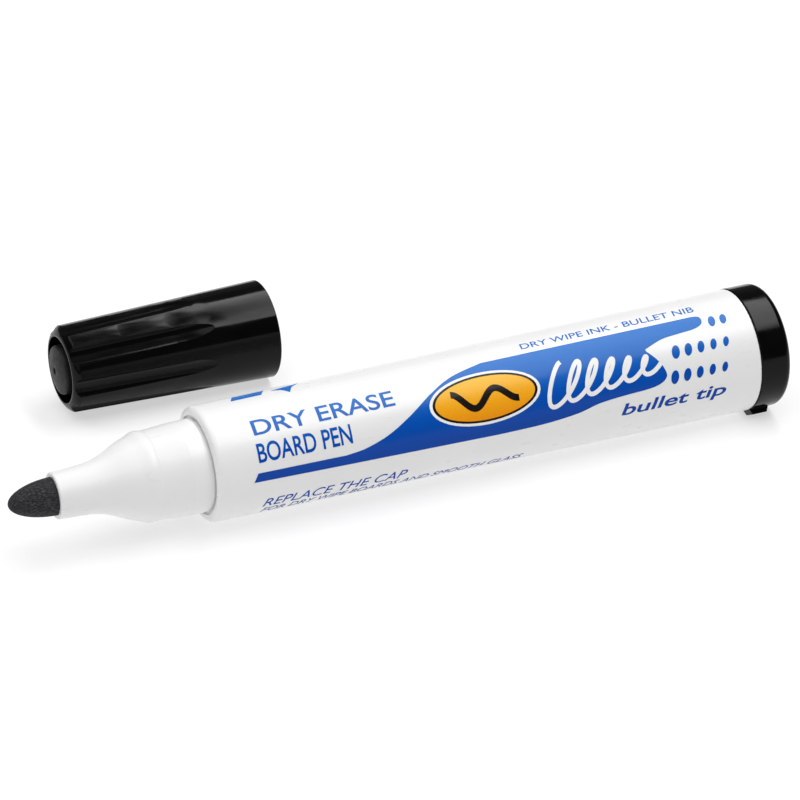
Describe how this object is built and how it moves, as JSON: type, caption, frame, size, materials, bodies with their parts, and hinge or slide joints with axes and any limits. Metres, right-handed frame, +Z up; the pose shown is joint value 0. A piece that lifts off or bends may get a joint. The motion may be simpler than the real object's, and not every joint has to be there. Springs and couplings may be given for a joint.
{
  "type": "whiteboard marker",
  "caption": "Round tapered whiteboard marker with a bullet nib, its fluted cap off and lying beside it, and an end plug with an anti-roll lug.",
  "frame": {"origin": "middle of the footprint of marker and cap together, at the height of the surface that they lie on", "axes": "+X along the marker from its nib to its end plug, +Y from the marker towards the cap beside it, +Z up"},
  "size_m": [0.1166, 0.0532, 0.018],
  "materials": {
    "white_plastic": "satin white moulded polypropylene",
    "black_plastic": "semi-gloss black moulded polypropylene",
    "black_plastic_matte": "fine matte black moulded plastic",
    "nib_fibre": "ink-soaked pressed fibre",
    "reservoir_fibre": "ink-soaked bonded fibre",
    "clear_film": "thin clear film",
    "blue_print": "blue screen print on the barrel",
    "amber_print": "amber screen print on the barrel",
    "white_print": "white screen print on the blue"
  },
  "bodies": {
    "marker": {"barrel": "white_plastic", "front_section": "white_plastic", "nib": "nib_fibre", "ink_reservoir": "reservoir_fibre", "reservoir_wrap": "clear_film", "end_plug": "black_plastic"},
    "cap": {"cap_shell": "black_plastic", "cap_inner_seal": "black_plastic_matte"}
  },
  "joints": [
    {"name": "cap_carry", "type": "slide", "parent": "marker", "child": "cap", "axis": [-0.9021, -0.431, 0.0202], "range_m": [0, 0.08547]}
  ]
}
